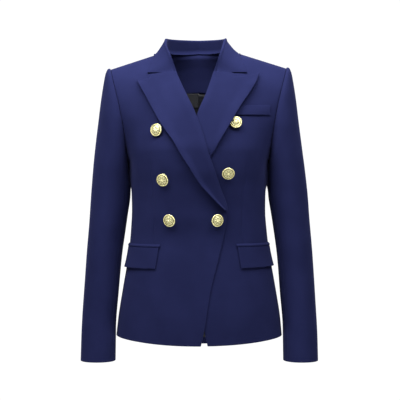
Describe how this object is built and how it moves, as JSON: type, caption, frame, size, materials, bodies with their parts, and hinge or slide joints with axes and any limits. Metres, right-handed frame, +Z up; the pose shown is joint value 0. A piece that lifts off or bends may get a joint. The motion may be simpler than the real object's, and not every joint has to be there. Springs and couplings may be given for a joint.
{
  "type": "double breasted blazer",
  "caption": "Fitted navy double breasted blazer, filled out as worn, with peaked lapels, flap pockets, a chest welt, long sleeves and domed gold buttons.",
  "frame": {"origin": "between the shoulders at the height of the neck points, where the wearer's shoulders carry the blazer", "axes": "+Z up towards the collar, -Y out of the front, +X towards the wearer's left"},
  "size_m": [0.5012, 0.2528, 0.6866],
  "materials": {
    "suiting": "matt",
    "lining": "smooth, slightly glossy",
    "label": "woven, matt",
    "button_metal": "polished, pale gold"
  },
  "bodies": {
    "root": {"front_right": "suiting", "front_left": "suiting", "back_right": "suiting", "back_left": "suiting", "sleeve_top_right": "suiting", "sleeve_top_left": "suiting", "sleeve_under_right": "suiting", "sleeve_under_left": "suiting", "lapel_right": "suiting", "lapel_left": "suiting", "collar": "suiting", "flap_right": "suiting", "flap_left": "suiting", "jet_right": "suiting", "jet_left": "suiting", "chest_welt": "suiting", "neck_facing": "suiting", "lining": "lining", "label": "label", "button_top_right": "button_metal", "button_middle_right": "button_metal", "button_bottom_right": "button_metal", "button_top_left": "button_metal", "button_middle_left": "button_metal", "button_bottom_left": "button_metal"}
  },
  "joints": []
}
